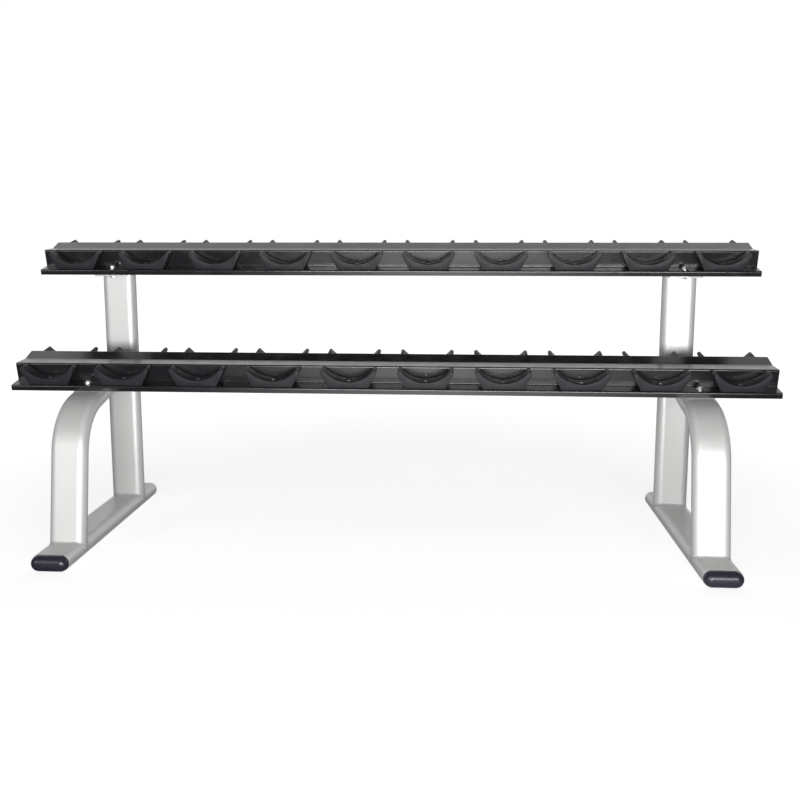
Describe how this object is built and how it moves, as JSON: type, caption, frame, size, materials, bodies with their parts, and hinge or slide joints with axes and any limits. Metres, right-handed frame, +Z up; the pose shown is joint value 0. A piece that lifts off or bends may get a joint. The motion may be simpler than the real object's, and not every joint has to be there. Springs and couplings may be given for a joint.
{
  "type": "dumbbell rack",
  "caption": "Two-tier dumbbell rack: silver flat-oval tube side frames carry two tilted black trays lined with moulded saddles at front and back.",
  "frame": {"origin": "on the floor, under the middle of the rack's bounding box", "axes": "+X along the rack to the user's right when facing it, -Y towards the user, +Z up"},
  "size_m": [2.35, 0.77, 0.9338],
  "materials": {
    "frame_silver": "satin silver powder coat with fine metallic flake",
    "plate_silver": "satin silver powder coat",
    "tray_black": "gloss black powder coat with light orange peel",
    "saddle_black": "fine-textured moulded charcoal plastic",
    "cap_black": "semi-gloss moulded black plastic",
    "zinc": "bright zinc-plated steel"
  },
  "bodies": {
    "root": {"left_base_runner": "frame_silver", "left_front_leg": "frame_silver", "left_rear_upright": "frame_silver", "left_front_end_cap": "cap_black", "left_rear_end_cap": "cap_black", "right_base_runner": "frame_silver", "right_front_leg": "frame_silver", "right_rear_upright": "frame_silver", "right_front_end_cap": "cap_black", "right_rear_end_cap": "cap_black", "lower_tray": "tray_black", "lower_left_mounting_plate": "plate_silver", "lower_left_tray_bolt": "zinc", "lower_right_mounting_plate": "plate_silver", "lower_right_tray_bolt": "zinc", "lower_front_saddle_01": "saddle_black", "lower_front_saddle_02": "saddle_black", "lower_front_saddle_03": "saddle_black", "lower_front_saddle_04": "saddle_black", "lower_front_saddle_05": "saddle_black", "lower_front_saddle_06": "saddle_black", "lower_front_saddle_07": "saddle_black", "lower_front_saddle_08": "saddle_black", "lower_front_saddle_09": "saddle_black", "lower_front_saddle_10": "saddle_black", "lower_rear_saddle_01": "saddle_black", "lower_rear_saddle_02": "saddle_black", "lower_rear_saddle_03": "saddle_black", "lower_rear_saddle_04": "saddle_black", "lower_rear_saddle_05": "saddle_black", "lower_rear_saddle_06": "saddle_black", "lower_rear_saddle_07": "saddle_black", "lower_rear_saddle_08": "saddle_black", "lower_rear_saddle_09": "saddle_black", "lower_rear_saddle_10": "saddle_black", "upper_tray": "tray_black", "upper_left_mounting_plate": "plate_silver", "upper_left_tray_bolt": "zinc", "upper_right_mounting_plate": "plate_silver", "upper_right_tray_bolt": "zinc", "upper_front_saddle_01": "saddle_black", "upper_front_saddle_02": "saddle_black", "upper_front_saddle_03": "saddle_black", "upper_front_saddle_04": "saddle_black", "upper_front_saddle_05": "saddle_black", "upper_front_saddle_06": "saddle_black", "upper_front_saddle_07": "saddle_black", "upper_front_saddle_08": "saddle_black", "upper_front_saddle_09": "saddle_black", "upper_front_saddle_10": "saddle_black", "upper_rear_saddle_01": "saddle_black", "upper_rear_saddle_02": "saddle_black", "upper_rear_saddle_03": "saddle_black", "upper_rear_saddle_04": "saddle_black", "upper_rear_saddle_05": "saddle_black", "upper_rear_saddle_06": "saddle_black", "upper_rear_saddle_07": "saddle_black", "upper_rear_saddle_08": "saddle_black", "upper_rear_saddle_09": "saddle_black", "upper_rear_saddle_10": "saddle_black"}
  },
  "joints": []
}
